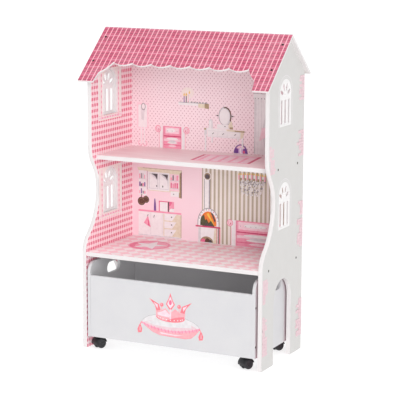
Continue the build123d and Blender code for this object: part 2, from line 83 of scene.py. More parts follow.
# ---------------------------------------------------------------- mixing materials
class Recipe:
    """One material's nodes, with the place in millimetres and the facing ready."""

    def __init__(self, name: str) -> None:
        """Start an empty material.

        Args:
            name: The material's name.
        """
        self.material = bpy.data.materials.new(name)
        self.material.use_nodes = True
        self.tree = self.material.node_tree
        self.tree.nodes.clear()
        metres = self.add("TexCoord", out="Object")
        self.place = self.add("VectorMath", {0: metres, "Scale": 1 / MM}, operation="SCALE")
        self.facing = self.add("TexCoord", out="Normal")
        self.x, self.y, self.z = (self.add("SeparateXYZ", {0: self.place}, out=i) for i in range(3))

    def add(
        self, kind: str, feeds: dict[int | str, object] | None = None, out: int | str = 0, **settings: object
    ) -> Socket | None:
        """Add a node with its settings and links.

        Args:
            kind: The node's type, without its prefix.
            feeds: For each input, the socket it is linked to or the value it holds.
            out: The output that is wanted.
            settings: The node's own properties.

        Returns:
            That output, or None from a node that has none.
        """
        node = self.tree.nodes.new("ShaderNode" + kind)
        for name, value in settings.items():
            setattr(node, name, value)
        for key, value in (feeds or {}).items():
            if isinstance(value, Socket):
                self.tree.links.new(value, node.inputs[key])
            else:
                node.inputs[key].default_value = value
        return node.outputs[out] if node.outputs else None

    def stripe(self, along: Socket, pitch: float, share: float, shift: float = 0.0) -> Socket:
        """Mark the first share of every pitch.

        Args:
            along: The coordinate that the stripes follow one another on.
            pitch: Stripe to stripe, in millimetres.
            share: How much of a pitch is marked, 0 to 1.
            shift: How far the stripes are moved, in millimetres.

        Returns:
            1 inside a stripe, and 0 elsewhere.
        """
        moved = self.add("Math", {0: along, 1: shift}, operation="ADD")
        turns = self.add("Math", {0: moved, 1: pitch}, operation="DIVIDE")
        part = self.add("Math", {0: turns}, operation="FRACT")
        return self.add("Math", {0: part, 1: share}, operation="LESS_THAN")

    def finish(
        self,
        colour: Socket | Colour,
        roughness: Socket | float,
        height: Socket | None = None,
        relief: float = 0.03,
        **constants: float | Colour,
    ) -> bpy.types.Material:
        """Close the material with its shader.

        Args:
            colour: The base colour.
            roughness: The roughness.
            height: What raises the surface, 0 to 1.
            relief: How far it raises it, in millimetres.
            constants: Other inputs of the shader, with _ for a space in their names.

        Returns:
            The finished material.
        """
        feeds: dict[int | str, object] = {"Base Color": colour, "Roughness": roughness}
        for name, value in constants.items():
            feeds[name.replace("_", " ")] = value
        if height is not None:
            feeds["Normal"] = self.add("Bump", {"Height": height, "Distance": relief * MM, "Strength": 1.0})
        shader = self.add("BsdfPrincipled", feeds)
        self.add("OutputMaterial", {"Surface": shader})
        return self.material


@dataclass(frozen=True)
class Finish:
    """A surface with a mottled colour, uneven gloss and a fine relief."""

    name: str
    tone: str                   # main colour
    shade: str                  # colour of its darker patches
    patch: float = 40.0         # width of the patches, mm
    grain: float = 1.6          # width of the relief's bumps, mm
    relief: float = 0.02        # height of the relief, mm
    roughness: tuple[float, float] = (0.35, 0.5)
    metallic: float = 0.0
    ior: float = 1.5
    stretch: tuple[float, float, float] = (1.0, 1.0, 1.0)   # how the grain runs
    glow: float = 0.0           # light that comes through from behind

    def build(self) -> bpy.types.Material:
        """Make the material."""
        recipe = Recipe(self.name)
        run = recipe.add("VectorMath", {0: recipe.place, 1: self.stretch}, operation="MULTIPLY")
        patches = recipe.add("TexNoise", {"Vector": run, "Scale": 1 / self.patch, "Detail": 4.0})
        grain = recipe.add("TexNoise", {"Vector": run, "Scale": 1 / self.grain, "Detail": 3.0})
        share = recipe.add("MapRange", {0: patches, 1: 0.35, 2: 0.75})
        colour = recipe.add("MixRGB", {0: share, 1: linear(self.tone), 2: linear(self.shade)})
        low, high = self.roughness
        gloss = recipe.add("MapRange", {0: patches, 1: 0.3, 2: 0.7, 3: low, 4: high})
        return recipe.finish(
            colour, gloss, grain, self.relief, Metallic=self.metallic, IOR=self.ior,
            Emission_Color=linear("FFFFFF"), Emission_Strength=self.glow,
        )


# Sprayed acrylic lacquer on MDF: clean white, semi-gloss, with a faint orange peel.
WHITE_LACQUER = Finish("white_lacquered_mdf", "D4D3D5", "D0CFD2", patch=60.0, grain=2.0)
# Sprayed lacquer on thin hardboard lattices: the boards' white, painted lighter to lift the shade that falls
# on the lattices (painted light), with the same faint orange peel.
LIGHTENED_LATTICE_LACQUER = Finish("white_lacquer_lightened_for_shade", "F0EEEE", "E9E6E6", patch=40.0, grain=2.0)
# Black-oxidised steel: nearly black, dull, rubbed brighter in patches.
SCREW_STEEL = Finish("black_oxide_steel", "4B4340", "2E2826", 2.0, 0.5, 0.01, (0.35, 0.55), 0.85, 1.5)
# Turned beech: pale brown with short darker flecks along the grain.
BEECH = Finish("beech", "D9B98C", "B98F5F", 3.0, 0.8, 0.02, (0.5, 0.65), stretch=(0.15, 1.0, 1.0))
# Moulded nylon: near black, satin, with a fine spark-eroded texture from its mould.
NYLON = Finish("moulded_nylon", "17171A", "222226", 8.0, 0.7, 0.03, (0.32, 0.48), ior=1.53)
# Moulded polypropylene wheels: black, duller, scuffed grey in patches.
WHEEL_PLASTIC = Finish("moulded_polypropylene", "1B1B1D", "323236", 5.0, 0.9, 0.04, (0.42, 0.62), ior=1.49)
# Black zinc-plated pressed steel: dark, faintly streaked metal.
PLATE_STEEL = Finish("black_zinc_plated_steel", "2A2A2D", "3C3C40", 6.0, 0.6, 0.01, (0.3, 0.45), 0.8)
# Bright zinc-plated steel: grey metal, slightly cloudy.
PIN_STEEL = Finish("zinc_plated_steel", "B9BBC0", "93969C", 4.0, 0.6, 0.01, (0.22, 0.38), 1.0)


class Ink(Enum):
    """Printing inks: the colour of a full coat, and of a thin one."""

    WHITE = ("F7F4F4", "EFEAEB")
    PALE = ("E4E0E2", "D6D1D4")
    GREY = ("A8A2A6", "8C868B")
    DARK = ("4A3F44", "65585E")
    BLUSH = ("FADCE4", "F6C9D5")
    PINK = ("F5A9BF", "F18FAC")
    ROSE = ("EB7598", "E25D86")
    DEEP = ("D64873", "C23A63")
    PURPLE = ("6C3F8E", "8A57A4")
    BROWN = ("573A30", "6E4B3C")
    TAN = ("B39A78", "9A8263")
    CREAM = ("ECE1CC", "DFD0B6")
    ORANGE = ("F28B3C", "E5702A")
    YELLOW = ("F6CF55", "EDB63A")
    OLIVE = ("59583A", "3E3E2A")
    BRICK = ("E6CBD1", "DDBDC5")
    LILAC = ("E9C9EA", "D9AEDB")
    CORAL = ("F4838F", "EE6F7C")
    SALMON = ("F8B0B8", "F49FA9")
    GLOW = ("FBEFEA", "F7E4E0")

    def material(self) -> bpy.types.Material:
        """The ink under a satin laminate, its coat uneven as print is: made once."""
        name = f"{self.name.lower()}_print_ink"
        made = bpy.data.materials.get(name)
        full, thin = self.value
        if made:
            return made
        return Finish(name, full, thin, patch=9.0, grain=1.2, relief=0.01, roughness=(0.36, 0.46)).build()


@dataclass(frozen=True)
class PrintedBoard:
    """MDF or hardboard with a laminated paper print on one face.

    The print is satin and shows a faint paper grain; the other faces and the
    edges are plain.
    """

    name: str
    looks: tuple[float, float, float]        # the way the printed face looks
    bare: str = "E8E4E4"                     # lacquered edges and back
    bare_shade: str = "E0DBDB"

    def print_mask(self, recipe: Recipe) -> Socket:
        """Mark the printed face."""
        pair = {0: recipe.facing, 1: self.looks}
        facing = recipe.add("VectorMath", pair, out="Value", operation="DOT_PRODUCT")
        return recipe.add("Math", {0: facing, 1: FACING_LIMIT}, operation="GREATER_THAN")

    def pattern(self, recipe: Recipe) -> Socket:
        """Colour of the printed face."""
        raise NotImplementedError

    def bare_colour(self, recipe: Recipe) -> Socket:
        """Colour of everything that isn't printed."""
        patches = recipe.add("TexNoise", {"Vector": recipe.place, "Scale": 1 / BARE_PATCH, "Detail": 4.0})
        return recipe.add("MixRGB", {0: patches, 1: linear(self.bare), 2: linear(self.bare_shade)})

    def build(self) -> bpy.types.Material:
        """Make the material."""
        recipe = Recipe(self.name)
        mask = self.print_mask(recipe)
        paper = recipe.add("TexNoise", {"Vector": recipe.place, "Scale": 1 / PAPER_GRAIN, "Detail": 2.0})
        cloud = recipe.add("TexNoise", {"Vector": recipe.place, "Scale": 1 / PRINT_CLOUD, "Detail": 5.0})
        faded = recipe.add("MapRange", {0: cloud, 1: 0.3, 2: 0.8, 3: 0.0, 4: 0.10})
        printed = recipe.add("MixRGB", {0: faded, 1: self.pattern(recipe), 2: linear("FFFFFF")})
        colour = recipe.add("MixRGB", {0: mask, 1: self.bare_colour(recipe), 2: printed})
        gloss = recipe.add("MapRange", {0: cloud, 1: 0.3, 2: 0.7, 3: 0.36, 4: 0.5})
        return recipe.finish(colour, gloss, paper, 0.02, IOR=1.5)


@dataclass(frozen=True)
class GinghamSide(PrintedBoard):
    """Side panel: pink check inside, pale grey outside, white edges."""

    row_pitch: float = 16.3
    column_pitch: float = 13.0
    slant: float = 3.2           # how far the check's teeth lean, mm per row

    def inside(self, recipe: Recipe, way: float) -> Socket:
        """Mark the faces that look into the house, or out of it with way -1."""
        across = recipe.add("SeparateXYZ", {0: recipe.facing}, out=0)
        outward = recipe.add("Math", {0: across, 1: recipe.x}, operation="MULTIPLY")
        inward = recipe.add("Math", {0: outward, 1: -way}, operation="MULTIPLY")
        return recipe.add("Math", {0: inward, 1: 100.0}, operation="GREATER_THAN")

    def print_mask(self, recipe: Recipe) -> Socket:
        """Mark both broad faces."""
        faces = {0: self.inside(recipe, 1), 1: self.inside(recipe, -1)}
        return recipe.add("Math", faces, operation="MAXIMUM")

    def pattern(self, recipe: Recipe) -> Socket:
        """Check of leaning teeth inside, plain pale grey outside."""
        rows = recipe.stripe(recipe.z, self.row_pitch, 0.52)
        turns = recipe.add("Math", {0: recipe.z, 1: self.row_pitch}, operation="DIVIDE")
        lean = recipe.add("Math", {0: turns, 1: 1.0}, operation="PINGPONG")
        leant = recipe.add("Math", {0: lean, 1: self.slant, 2: recipe.y}, operation="MULTIPLY_ADD")
        columns = recipe.stripe(leant, self.column_pitch, 0.5)
        light = recipe.add("MixRGB", {0: columns, 1: linear("FFEAED"), 2: linear("FBCBD5")})
        dark = recipe.add("MixRGB", {0: columns, 1: linear("FBBAC7"), 2: linear("E06683")})
        check = recipe.add("MixRGB", {0: rows, 1: light, 2: dark})
        return recipe.add("MixRGB", {0: self.inside(recipe, -1), 1: check, 2: linear("CFCDCB")})


@dataclass(frozen=True)
class Hardboard(PrintedBoard):
    """Back board: 3 mm hardboard, printed in front, raw brown fibre behind."""

    bare: str = "A98662"
    bare_shade: str = "8E6D4D"
    fibre: float = 2.5           # length of the fibres, mm

    def bare_colour(self, recipe: Recipe) -> Socket:
        """Pressed fibres, short and every way, on a cloudy brown."""
        settings = {"Vector": recipe.place, "Scale": 1 / self.fibre, "Detail": 6.0, "Distortion": 2.0}
        fibres = recipe.add("TexNoise", settings)
        share = recipe.add("MapRange", {0: fibres, 1: 0.35, 2: 0.65})
        return recipe.add("MixRGB", {0: share, 1: linear(self.bare), 2: linear(self.bare_shade)})


@dataclass(frozen=True)
class DottedWall(Hardboard):
    """Pink wallpaper with small mauve dots in staggered rows."""

    dot_pitch: float = 5.9       # half of dot to dot along a row
    row_pitch: float = 7.0
    dot_share: float = 0.15      # dot's radius as a share of the cell

    def pattern(self, recipe: Recipe) -> Socket:
        """Dots on a pink ground."""
        ground = linear("FDE6EB")
        half = recipe.add("Math", {0: recipe.z, 1: self.row_pitch}, operation="DIVIDE")
        across = recipe.add("Math", {0: recipe.x, 1: self.dot_pitch}, operation="DIVIDE")
        total = recipe.add("Math", {0: across, 1: 0.5, 2: 0.0}, operation="MULTIPLY_ADD")
        rise = recipe.add("Math", {0: half, 1: 0.5, 2: 0.0}, operation="MULTIPLY_ADD")
        one = recipe.add("Math", {0: total, 1: rise}, operation="ADD")
        other = recipe.add("Math", {0: total, 1: rise}, operation="SUBTRACT")
        cell = recipe.add("CombineXYZ", {0: one, 1: other})
        settings = {"Vector": cell, "Scale": 1.0, "Randomness": 0.0}
        near = recipe.add("TexVoronoi", settings, out="Distance", voronoi_dimensions="2D")
        dots = recipe.add("MapRange", {0: near, 1: self.dot_share, 2: self.dot_share * 1.5, 3: 1.0, 4: 0.0})
        return recipe.add("MixRGB", {0: dots, 1: ground, 2: linear("CDA2AF")})


@dataclass(frozen=True)
class KitchenWall(Hardboard):
    """Plain pink behind the kitchen, striped wallpaper behind the sitting room."""

    change_at: float = -37.0     # where the stripes begin
    stripe_pitch: float = 13.4

    def pattern(self, recipe: Recipe) -> Socket:
        """Two wallpapers that meet at an upright line."""
        beige = recipe.stripe(recipe.x, self.stripe_pitch, 0.5)
        thread = recipe.stripe(recipe.x, self.stripe_pitch, 0.12, shift=-2.5)
        paper = recipe.add("MixRGB", {0: beige, 1: linear("F0EAE4"), 2: linear("C4B69F")})
        striped = recipe.add("MixRGB", {0: thread, 1: paper, 2: linear("A89A86")})
        sitting_room = recipe.add("Math", {0: recipe.x, 1: self.change_at}, operation="GREATER_THAN")
        return recipe.add("MixRGB", {0: sitting_room, 1: linear("FBDDE5"), 2: striped})


@dataclass(frozen=True)
class RoseFloor(PrintedBoard):
    """Upper floor: pale rose with soft, broad streaks like laid vinyl."""

    def pattern(self, recipe: Recipe) -> Socket:
        """Streaks that run across the house."""
        run = recipe.add("VectorMath", {0: recipe.place, 1: (0.15, 1.0, 1.0)}, operation="MULTIPLY")
        streaks = recipe.add("TexNoise", {"Vector": run, "Scale": 1 / 22, "Detail": 3.0})
        share = recipe.add("MapRange", {0: streaks, 1: 0.35, 2: 0.65})
        return recipe.add("MixRGB", {0: share, 1: linear("FBE6E7"), 2: linear("F6D9DC")})


@dataclass(frozen=True)
class ChequerFloor(PrintedBoard):
    """Lower floor: pink and white diamonds, each a little uneven."""

    diamond: float = 36.0        # corner to corner

    def pattern(self, recipe: Recipe) -> Socket:
        """Diamonds of three tones."""
        one = recipe.add("Math", {0: recipe.x, 1: recipe.y}, operation="ADD")
        other = recipe.add("Math", {0: recipe.x, 1: recipe.y}, operation="SUBTRACT")
        cell = recipe.add("CombineXYZ", {0: one, 1: other})
        white, pink = linear("FCF3F3"), linear("FAC8D2")
        squares = {"Vector": cell, "Color1": white, "Color2": pink, "Scale": 1 / self.diamond}
        tiles = recipe.add("TexChecker", squares)
        cloud = recipe.add("TexNoise", {"Vector": cell, "Scale": 1 / 18, "Detail": 2.0})
        share = recipe.add("MapRange", {0: cloud, 1: 0.45, 2: 0.75, 3: 0.0, 4: 0.7})
        return recipe.add("MixRGB", {0: share, 1: tiles, 2: linear("F7DADF")})


@dataclass(frozen=True)
class TiledRoof(PrintedBoard):
    """Roof slope: crimson tiles parted by pale lines."""

    ridge: float = 14.0          # ridge's distance behind the middle
    pitch_degrees: float = 41.0
    tile_width: float = 14.6
    course: float = 61.0         # strong cross line to strong cross line
    first_course: float = 32.0
    row: float = 10.2            # fine dark joint to fine dark joint

    def print_mask(self, recipe: Recipe) -> Socket:
        """Mark the faces that look up the slopes."""
        upward = recipe.add("SeparateXYZ", {0: recipe.facing}, out=2)
        return recipe.add("Math", {0: upward, 1: FACING_LIMIT}, operation="GREATER_THAN")

    def pattern(self, recipe: Recipe) -> Socket:
        """Tiles of uneven red, pale joints down the slope and finer ones across."""
        level = recipe.add("Math", {0: recipe.y, 1: self.ridge}, operation="SUBTRACT")
        run = recipe.add("Math", {0: level}, operation="ABSOLUTE")
        lean = math.cos(math.radians(self.pitch_degrees))
        slope = recipe.add("Math", {0: run, 1: lean}, operation="DIVIDE")
        grain = recipe.add("VectorMath", {0: recipe.place, 1: (1.0, 0.35, 0.35)}, operation="MULTIPLY")
        mottle = recipe.add("TexNoise", {"Vector": grain, "Scale": 1 / 5, "Detail": 4.0})
        share = recipe.add("MapRange", {0: mottle, 1: 0.35, 2: 0.65})
        red = recipe.add("MixRGB", {0: share, 1: linear("D45479"), 2: linear("BA4466")})
        weak = recipe.stripe(slope, self.course, 0.03, shift=-self.first_course - self.course / 2)
        strong = recipe.stripe(slope, self.course, 0.028, shift=-self.first_course)
        down = recipe.stripe(recipe.x, self.tile_width, 0.2)
        rows = recipe.stripe(slope, self.row, 0.3)
        rowed = recipe.add("MixRGB", {0: rows, 1: red, 2: linear("A23A5A")})
        dull = recipe.add("MixRGB", {0: weak, 1: rowed, 2: linear("E08DA5")})
        crossed = recipe.add("MixRGB", {0: strong, 1: dull, 2: linear("EFA3B6")})
        return recipe.add("MixRGB", {0: down, 1: crossed, 2: linear("F9B4C0")})


# ---------------------------------------------------------------- printed shapes
def arc(centre: Point, radii: Point, start: float = 0.0, stop: float = 360.0, steps: int = 24) -> list[Point]:
    """Points on an ellipse.

    Args:
        centre: Its middle.
        radii: Its half width and half height.
        start: Angle of the first point, in degrees.
        stop: Angle of the last point.
        steps: How many points; a full turn leaves out the repeated one.

    Returns:
        The points in order.
    """
    gaps = steps if abs(stop - start) >= 360 else steps - 1
    turns = [math.radians(start + (stop - start) * i / gaps) for i in range(steps)]
    return [(centre[0] + radii[0] * math.cos(t), centre[1] + radii[1] * math.sin(t)) for t in turns]


@dataclass(frozen=True)
class Face:
    """A flat face of a board, with its own directions across and up."""

    origin: Vector
    across: Vector
    up: Vector

    def point(self, where: Point, lift: float) -> Vector:
        """Place a print's point, in millimetres, lift above the face."""
        raised = self.across.cross(self.up) * lift
        return self.origin + (self.across * where[0] + self.up * where[1] + raised) * MM


@dataclass
class Artwork:
    """Inked shapes on one face of a board, stacked in the order they are drawn."""

    name: str
    face: Face
    slot: str
    body: str = "root"
    layer: float = 0.02          # thickness that each shape adds, mm
    shapes: int = 0
    inks: list[Ink] = field(default_factory=list)
    mesh: bmesh.types.BMesh = field(default_factory=bmesh.new)

    def fill(self, ink: Ink, points: Sequence[Point]) -> None:
        """Draw a closed shape.

        Args:
            ink: Its ink.
            points: Its outline, in millimetres on the face.
        """
        pairs = list(zip(points, [*points[1:], points[0]]))
        turning = sum(a[0] * b[1] - b[0] * a[1] for a, b in pairs)
        outline = list(points) if turning > 0 else list(reversed(points))
        self.shapes += 1
        lower = [self.mesh.verts.new(self.face.point(p, 0.0)) for p in outline]
        upper = [self.mesh.verts.new(self.face.point(p, self.shapes * self.layer)) for p in outline]
        made = [self.mesh.faces.new(upper), self.mesh.faces.new(lower[::-1])]
        for i in range(len(outline)):
            j = (i + 1) % len(outline)
            made.append(self.mesh.faces.new((lower[i], lower[j], upper[j], upper[i])))
        if ink not in self.inks:
            self.inks.append(ink)
        for part in made:
            part.material_index = self.inks.index(ink)

    def block(self, ink: Ink, left: float, bottom: float, right: float, top: float) -> None:
        """Draw an upright rectangle from its edges."""
        self.fill(ink, [(left, bottom), (right, bottom), (right, top), (left, top)])

    def oval(self, ink: Ink, centre: Point, radii: Point, start: float = 0.0, stop: float = 360.0) -> None:
        """Draw an ellipse, or the part of it between two angles."""
        self.fill(ink, arc(centre, radii, start, stop))

    def stroke(self, ink: Ink, width: float, points: Sequence[Point]) -> None:
        """Draw a line.

        Args:
            ink: Its ink.
            width: Its width in millimetres.
            points: The points it passes through.
        """
        left: list[Point] = []
        right: list[Point] = []
        for i, here in enumerate(points):
            before, after = points[max(i - 1, 0)], points[min(i + 1, len(points) - 1)]
            way = Vector((after[0] - before[0], after[1] - before[1])).normalized() * (width / 2)
            left.append((here[0] - way.y, here[1] + way.x))
            right.append((here[0] + way.y, here[1] - way.x))
        self.fill(ink, left + right[::-1])

    def lay(self) -> bpy.types.Object:
        """Turn the shapes into a piece that rides on its board's body."""
        self.mesh.normal_update()
        data = bpy.data.meshes.new(self.name)
        self.mesh.to_mesh(data)
        self.mesh.free()
        for ink in self.inks:
            data.materials.append(ink.material())
        piece = bpy.data.objects.new(self.name, data)
        bpy.context.scene.collection.objects.link(piece)
        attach(piece, self.body)
        log.info("%s: %d shapes in %d inks", self.name, self.shapes, len(self.inks))
        return piece


def wall_face(node: str, floor: float) -> Face:
    """Front face of a back board, measured from the house's middle and a floor."""
    low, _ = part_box(node)
    return Face(Vector((0.0, low.y, floor * MM)), Vector((1, 0, 0)), Vector((0, 0, 1)))


def floor_face(node: str) -> Face:
    """Top face of a floor, measured from the model's middle."""
    _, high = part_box(node)
    return Face(Vector((0.0, 0.0, high.z)), Vector((1, 0, 0)), Vector((0, 1, 0)))


# ---------------------------------------------------------------- shared finishing
def dress(names: Sequence[str], material: bpy.types.Material, rounding: float = 0.0) -> None:
    """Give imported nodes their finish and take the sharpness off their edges.

    Args:
        names: The nodes.
        material: Their finish.
        rounding: Width of the eased edge in millimetres, or 0 for none.
    """
    for name in names:
        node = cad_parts[name]
        if not node.material_slots:
            node.data.materials.append(material)
        for slot in node.material_slots:
            slot.material = material
        if rounding:
            weld = node.modifiers.new("weld", "WELD")
            weld.merge_threshold = 1e-6
            ease = node.modifiers.new("eased_edges", "BEVEL")
            ease.width = rounding * MM
            ease.segments = 2
            ease.limit_method = "ANGLE"
            ease.angle_limit = math.radians(40)
            ease.harden_normals = True
        log.info("%s dressed in %s", name, material.name)


# ---------------------------------------------------------------- the house
@dataclass
class House:
    """Side panels, floors, backs, window lattices and their fasteners."""

    edge: float = 0.7            # eased edge of a 12 mm board
    window_width: float = 76.0
    window_height: float = 128.0
    trim: float = 27.0           # printed surround beside a window
    front: float = -144.5
    rear: float = 127.5
    window_setback: float = 141.0

    def build(self) -> None:
        """Dress the boards and lay the prints on the side panels."""
        sides = GinghamSide("gingham_printed_mdf", (1.0, 0.0, 0.0)).build()
        dress(["left_side_panel", "right_side_panel"], sides, self.edge)
        rose = RoseFloor("rose_printed_mdf", (0.0, 0.0, 1.0)).build()
        dress(["upper_floor"], rose, self.edge)
        chequer = ChequerFloor("chequer_printed_mdf", (0.0, 0.0, 1.0)).build()
        dress(["lower_floor"], chequer, self.edge)
        dress(["upper_back_panel"], DottedWall("dotted_printed_hardboard", (0.0, -1.0, 0.0)).build())
        dress(["lower_back_panel"], KitchenWall("striped_printed_hardboard", (0.0, -1.0, 0.0)).build())
        # The lattices take the lightened white lacquer: painted light against the shade on them.
        white = LIGHTENED_LATTICE_LACQUER.build()
        for storey in SILLS:
            dress([f"{storey}_{side}_window" for side in SIDES], white, 0.35)
        steel = SCREW_STEEL.build()
        dress(["upper_floor_screws", "lower_floor_screws", "upper_back_screws", "lower_back_screws"], steel)
        dress(["floor_dowels"], BEECH.build())
        for side in SIDES:
            for storey, sill in SILLS.items():
                self.window_print(side, storey, sill)
            self.brick_print(side)

    def side_face(self, side: str, outward: bool) -> Face:
        """Broad face of a side panel, measured from its front edge and the ground.

        Args:
            side: left or right.
            outward: The outer face, or else the inner one.

        Returns:
            The face.
        """
        low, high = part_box(f"{side}_side_panel")
        right_hand = (side == "right") == outward
        outer_x = high.x if side == "right" else low.x
        inner_x = low.x if side == "right" else high.x
        across = Vector((0, 1, 0)) if right_hand else Vector((0, -1, 0))
        return Face(Vector((outer_x if outward else inner_x, self.front * MM, 0)), across, Vector((0, 0, 1)))

    def arch(self, middle: float, sill: float, margin: float) -> list[Point]:
        """Line round a window's sides and head.

        Args:
            middle: The window's middle on the face.
            sill: Its sill.
            margin: How far outside the opening the line runs.

        Returns:
            The points from one foot over the head to the other.
        """
        half = self.window_width / 2
        spring = sill + self.window_height - half
        reach = half + margin
        head = arc((middle, spring), (reach, reach), 0.0, 180.0, 25)
        return [(middle + reach, sill), *head, (middle - reach, sill)]

    def window_print(self, side: str, storey: str, sill: float) -> None:
        """Printed surround of one window, inside and outside.

        Args:
            side: left or right.
            storey: upper or lower.
            sill: The window's sill.
        """
        for outward in (False, True):
            face = self.side_face(side, outward)
            middle = self.window_setback * face.across.y
            label = "outer" if outward else "inner"
            art = Artwork(f"{storey}_{side}_window_{label}_trim", face, "side_print")
            if outward:
                art.stroke(Ink.PALE, 2.0, self.arch(middle, sill, 9.0))
                art.stroke(Ink.PALE, 1.0, self.arch(middle, sill, 4.0))
            else:
                self.inner_trim(art, middle, sill)
            art.lay()

    def inner_trim(self, art: Artwork, middle: float, sill: float) -> None:
        """Pale rectangle round the window's arch, with dotted ribbons beside and below it.

        Args:
            art: The artwork to draw in.
            middle: The window's middle on the face.
            sill: Its sill.
        """
        half, head = self.window_width / 2 + self.trim, sill + self.window_height
        left, right, top = middle - half, middle + half, head + 4
        frame_line = [(left, sill), (left, top), (right, top), (right, sill)]
        art.fill(Ink.GLOW, [*frame_line, *self.arch(middle, sill, 1.0)])
        art.block(Ink.GLOW, middle - half, sill - 14, middle + half, sill - 1)
        for way in (-1, 1):
            edge = middle + way * half
            art.stroke(Ink.WHITE, 3.0, [(edge, sill - 14), (edge, head + 4)])
            ribbon = middle + way * (self.window_width / 2 + 11)
            art.stroke(Ink.BLUSH, 6.0, [(ribbon, sill - 12), (ribbon, head)])
            for rise in range(-6, int(self.window_height), 15):
                art.oval(Ink.PINK, (ribbon, sill + rise), (2.4, 3.8))
        art.stroke(Ink.WHITE, 3.0, self.arch(middle, sill, 2.5))
        art.stroke(Ink.BLUSH, 6.0, [(middle - half, sill - 7), (middle + half, sill - 7)])
        for step in range(-3, 4):
            art.oval(Ink.PINK, (middle + step * 15, sill - 7), (3.6, 2.2))

    def brick_print(self, side: str) -> None:
        """Scattered brick courses, as if plaster had flaked near the edges.

        Args:
            side: left or right.
        """
        face = self.side_face(side, True)
        art = Artwork(f"{side}_brick_print", face, "side_print")
        courses = random.Random(11)
        depth = self.rear - self.front
        patches = [
            (38, 590, 20), (45, 552, 22), (4, 232, 26), (4, 205, 22), (4, 130, 20), (4, 96, 22), (4, 60, 20),
            (depth - 4, 762, 18), (depth - 4, 734, 20), (depth - 4, 610, 26), (depth - 4, 578, 34),
            (depth - 4, 410, 14), (depth - 4, 360, 18), (depth - 4, 320, 22), (depth - 4, 130, 20),
            (depth - 4, 95, 20), (depth - 4, 62, 24),
        ]
        for edge, middle, reach in patches:
            inward = 1 if edge < depth / 2 else -1
            for course in range(-2, 3):
                self.brick_course(art, face.across.y, edge, inward, middle + course * 8.0, reach, courses)
        art.lay()

    def brick_course(
        self, art: Artwork, turn: float, edge: float, inward: int, height: float, reach: float,
        courses: random.Random,
    ) -> None:
        """One course of a brick patch.

        Args:
            art: The artwork to draw in.
            turn: 1 if the face's across runs to the rear, or else -1.
            edge: Where the course starts, behind the panel's front edge.
            inward: 1 if it runs to the rear from there, or else -1.
            height: The course's middle.
            reach: How far it may run.
            courses: Where the uneven ends come from.
        """
        length = reach * courses.uniform(0.4, 1.3)
        begin = edge
        while abs(begin - edge) < length:
            end = begin + inward * courses.uniform(13.0, 19.0)
            left, right = sorted((begin * turn, (end - inward * 1.0) * turn))
            art.block(Ink.BRICK, left, height - 3.7, right, height + 3.7)
            begin = end


@dataclass
class Roof:
    """The two tiled slopes and their screws."""

    edge: float = 0.6

    def build(self) -> None:
        """Dress the slopes."""
        tiles = TiledRoof("tile_printed_mdf", (0.0, 0.0, 1.0)).build()
        dress(["roof_front_panel", "roof_back_panel"], tiles, self.edge)
        dress(["roof_screws"], SCREW_STEEL.build())


# ---------------------------------------------------------------- printed furniture
@dataclass
class PaddedSeat:
    """A scroll-armed chair or sofa, as printed on a wall."""

    left: float                  # outer edge of the left arm
    width: float                 # across both arms
    height: float                # top of the back
    arm: float = 13.0

    def draw(self, art: Artwork) -> None:
        """Draw the seat from its feet up."""
        right = self.left + self.width
        inner_left, inner_right = self.left + self.arm, right - self.arm
        seat = self.height * 0.55
        middle, reach = (inner_left + inner_right) / 2, (inner_right - inner_left) / 2
        art.block(Ink.ROSE, inner_left, 0.0, inner_right, self.height)
        folds = ((0.0, Ink.PINK), (0.13, Ink.ROSE), (0.17, Ink.PINK), (0.32, Ink.BLUSH), (0.43, Ink.PINK))
        for rise, ink in folds:
            art.block(ink, inner_left + 1.5, self.height * rise, inner_right - 1.5, seat - 2)
        for rise, share, ink in (
            (0.07, 0.42, Ink.BLUSH), (0.22, 0.55, Ink.WHITE), (0.28, 0.4, Ink.PALE), (0.40, 0.66, Ink.WHITE),
        ):
            low = self.height * rise
            art.oval(ink, (middle, low + 2.5), (reach * share, self.height * 0.055))
        art.stroke(Ink.DEEP, 2.4, [(inner_left, seat), (inner_right, seat)])
        art.block(Ink.PINK, inner_left + 2, seat + 2, inner_right - 2, self.height - 1)
        art.block(Ink.BLUSH, inner_left + 7, seat + 8, inner_right - 7, self.height - 3.5)
        art.oval(Ink.WHITE, (middle - reach * 0.15, (seat + self.height) / 2 + 3), (reach * 0.5, 6.0))
        buttons = max(2, round(reach / 9))
        for i in range(buttons):
            where = inner_left + 6 + (reach * 2 - 12) * (i + 0.5) / buttons
            art.oval(Ink.GREY, (where, (seat + self.height) / 2 + 1), (1.1, 1.1))
        for outer, inner, way in ((self.left, inner_left, -1), (right, inner_right, 1)):
            low, high = sorted((outer, inner))
            art.block(Ink.WHITE, low, 0.0, high, self.height)
            fold = sorted((inner, inner + way * 3.0))
            art.block(Ink.BLUSH, fold[0], 0.0, fold[1], self.height)
            art.stroke(Ink.PINK, 1.4, [(outer, 0.0), (outer, self.height * 0.72)])
            curl = (outer + way * 4.0, self.height - 9.0)
            art.oval(Ink.ROSE, curl, (9.6, 10.2))
            art.oval(Ink.BLUSH, curl, (8.2, 8.8))
            art.stroke(Ink.ROSE, 1.3, arc(curl, (5.0, 5.4), 90 - way * 40, 90 + way * -250, 20))
            art.oval(Ink.DEEP, (curl[0] + way * -2, curl[1] - 1), (1.8, 1.8))


